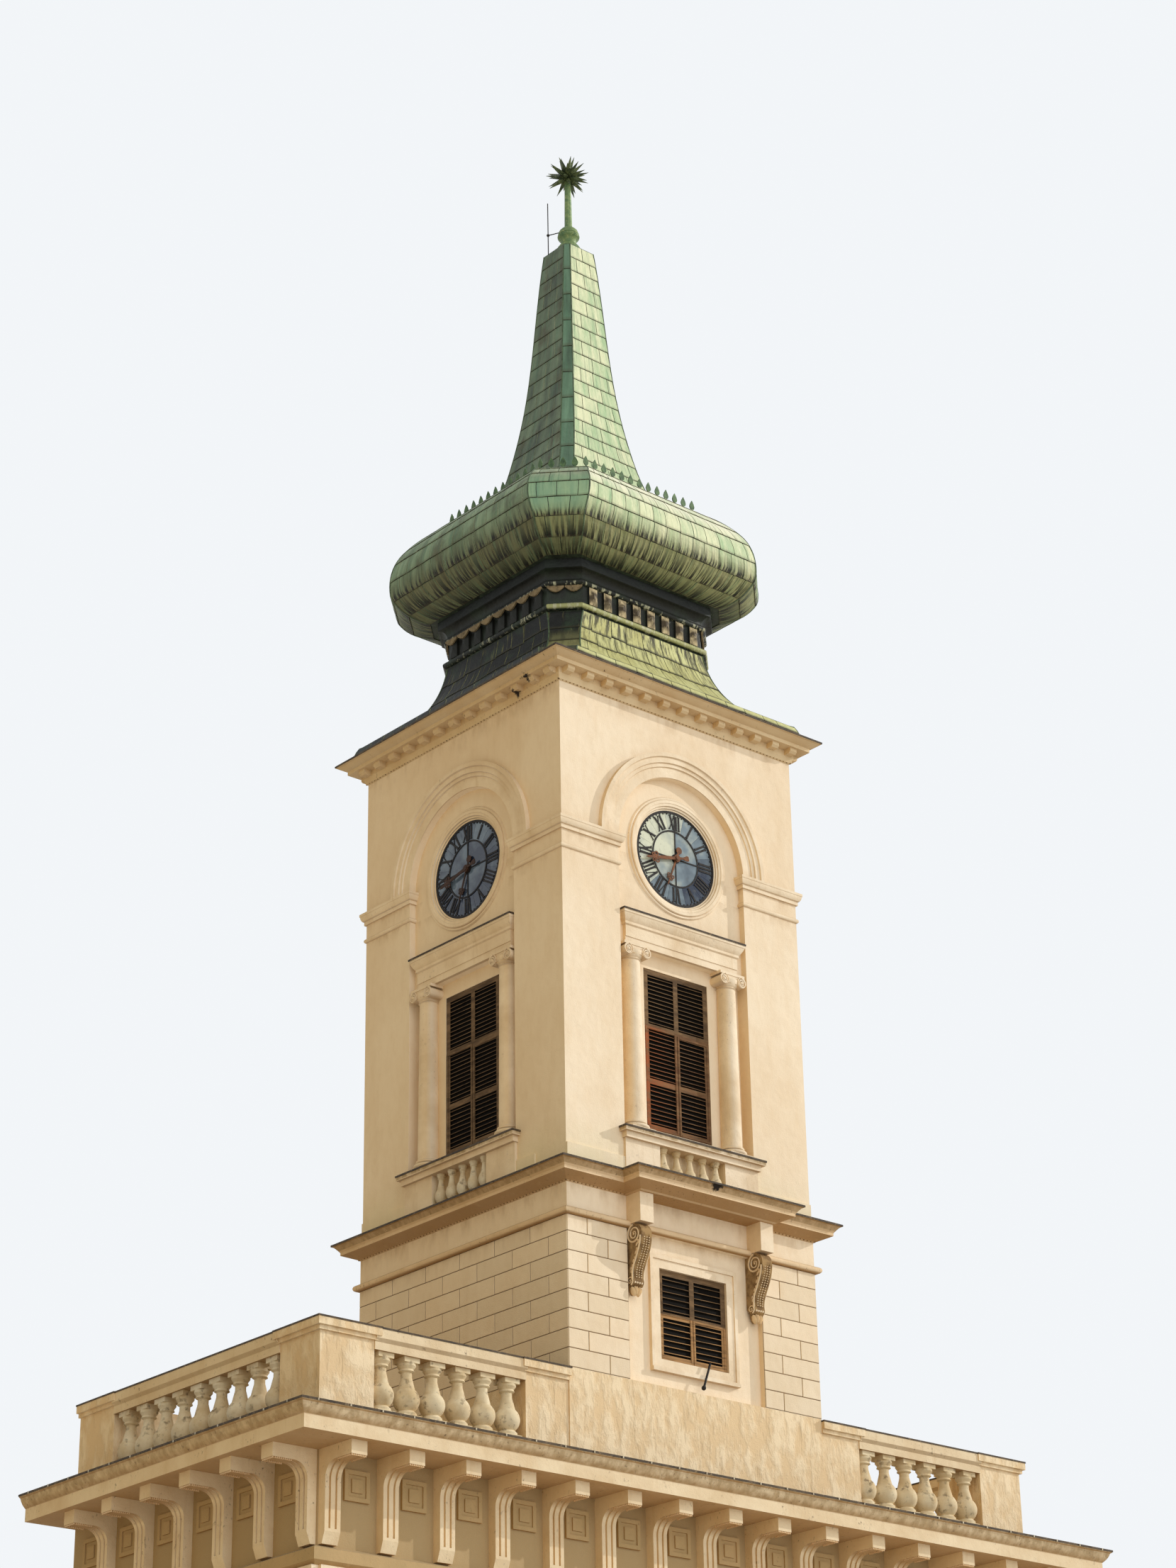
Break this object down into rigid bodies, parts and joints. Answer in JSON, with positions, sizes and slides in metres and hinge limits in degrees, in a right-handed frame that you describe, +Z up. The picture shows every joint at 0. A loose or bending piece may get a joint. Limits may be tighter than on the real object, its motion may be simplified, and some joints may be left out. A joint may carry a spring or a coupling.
{
  "type": "clock tower",
  "caption": "Square stuccoed clock tower with arched belfry stages, Ionic columns, glazed dials and a two-part bell-shaped copper roof, rising from a balustraded block with a bracketed cornice.",
  "frame": {"origin": "centre of the base at ground level, under the middle of the whole part's footprint box", "axes": "+Z up, the front with the low window and the entrance towards -Y, +X to the right of someone facing it"},
  "size_m": [15.8, 6.95, 38],
  "materials": {
    "stucco": "painted lime stucco, weathered",
    "cornice_stucco": "painted moulded stucco, weathered",
    "stone": "worn stone and brick paving",
    "roof_copper": "copper sheet with green patina and dark streaks",
    "dark_timber": "dark stained timber",
    "dial_glass": "milky glass panes",
    "black_iron": "black paint",
    "hand_copper": "brown copper sheet"
  },
  "bodies": {
    "tower": {"archivolts": "cornice_stucco", "belfry_balusters": "cornice_stucco", "belfry_shutters": "dark_timber", "belfry_sills": "cornice_stucco", "block_side_walls": "stucco", "block_wall_back": "stucco", "block_wall_front": "stucco", "bulb_roof": "roof_copper", "cornice_brackets": "cornice_stucco", "cornice_consoles": "cornice_stucco", "crest_leaves": "roof_copper", "dial_frames": "cornice_stucco", "dial_glass": "dial_glass", "dial_ironwork": "black_iron", "entablatures": "cornice_stucco", "entrance_door": "dark_timber", "entrance_surround": "cornice_stucco", "finial_pole": "roof_copper", "frieze_band": "cornice_stucco", "frieze_panels": "cornice_stucco", "inner_floors": "stone", "ionic_columns": "cornice_stucco", "lightning_rod": "black_iron", "low_window_frame": "cornice_stucco", "low_window_shutter": "dark_timber", "lower_side_walls": "stucco", "lower_wall_back": "stucco", "lower_wall_front": "stucco", "main_cornice": "cornice_stucco", "mid_cornice": "cornice_stucco", "neck": "roof_copper", "neck_blocks": "roof_copper", "parapet_back_wall": "stucco", "parapet_balusters": "cornice_stucco", "parapet_pedestals": "stucco", "parapet_rails": "cornice_stucco", "pier_bands": "cornice_stucco", "pilasters": "stucco", "plinth": "stone", "roll_moulding": "cornice_stucco", "skirt_roof": "roof_copper", "spire_roof": "roof_copper", "star_ball": "roof_copper", "terrace_slab": "stone", "top_cornice": "cornice_stucco", "top_modillions": "cornice_stucco", "tower_base_walls": "stucco", "upper_side_walls": "stucco", "upper_wall_back": "stucco", "upper_wall_front": "stucco"},
    "minute_front": {"minute_hand_front": "hand_copper"},
    "hour_front": {"hour_hand_front": "hand_copper"},
    "minute_left": {"minute_hand_left": "hand_copper"},
    "hour_left": {"hour_hand_left": "hand_copper"},
    "minute_back": {"minute_hand_back": "hand_copper"},
    "hour_back": {"hour_hand_back": "hand_copper"},
    "minute_right": {"minute_hand_right": "hand_copper"},
    "hour_right": {"hour_hand_right": "hand_copper"}
  },
  "joints": [
    {"name": "minute_hand_front_turn", "type": "hinge", "parent": "tower", "child": "minute_front", "pos_m": [0, -2.4, 23.125], "axis": [0, 1, 0], "continuous": true},
    {"name": "hour_hand_front_turn", "type": "hinge", "parent": "tower", "child": "hour_front", "pos_m": [0, -2.4, 23.125], "axis": [0, 1, 0], "continuous": true},
    {"name": "minute_hand_left_turn", "type": "hinge", "parent": "tower", "child": "minute_left", "pos_m": [-2.4, 0, 23.125], "axis": [1, 0, 0], "continuous": true},
    {"name": "hour_hand_left_turn", "type": "hinge", "parent": "tower", "child": "hour_left", "pos_m": [-2.4, 0, 23.125], "axis": [1, 0, 0], "continuous": true},
    {"name": "minute_hand_back_turn", "type": "hinge", "parent": "tower", "child": "minute_back", "pos_m": [0, 2.4, 23.125], "axis": [0, -1, 0], "continuous": true},
    {"name": "hour_hand_back_turn", "type": "hinge", "parent": "tower", "child": "hour_back", "pos_m": [0, 2.4, 23.125], "axis": [0, -1, 0], "continuous": true},
    {"name": "minute_hand_right_turn", "type": "hinge", "parent": "tower", "child": "minute_right", "pos_m": [2.4, 0, 23.125], "axis": [-1, 0, 0], "continuous": true},
    {"name": "hour_hand_right_turn", "type": "hinge", "parent": "tower", "child": "hour_right", "pos_m": [2.4, 0, 23.125], "axis": [-1, 0, 0], "continuous": true}
  ],
  "couplings": [
    {"joint": "hour_hand_front_turn", "follows": "minute_hand_front_turn", "ratio": 0.083333},
    {"joint": "minute_hand_left_turn", "follows": "minute_hand_front_turn", "ratio": 1},
    {"joint": "hour_hand_left_turn", "follows": "minute_hand_front_turn", "ratio": 0.083333},
    {"joint": "minute_hand_back_turn", "follows": "minute_hand_front_turn", "ratio": 1},
    {"joint": "hour_hand_back_turn", "follows": "minute_hand_front_turn", "ratio": 0.083333},
    {"joint": "minute_hand_right_turn", "follows": "minute_hand_front_turn", "ratio": 1},
    {"joint": "hour_hand_right_turn", "follows": "minute_hand_front_turn", "ratio": 0.083333}
  ]
}
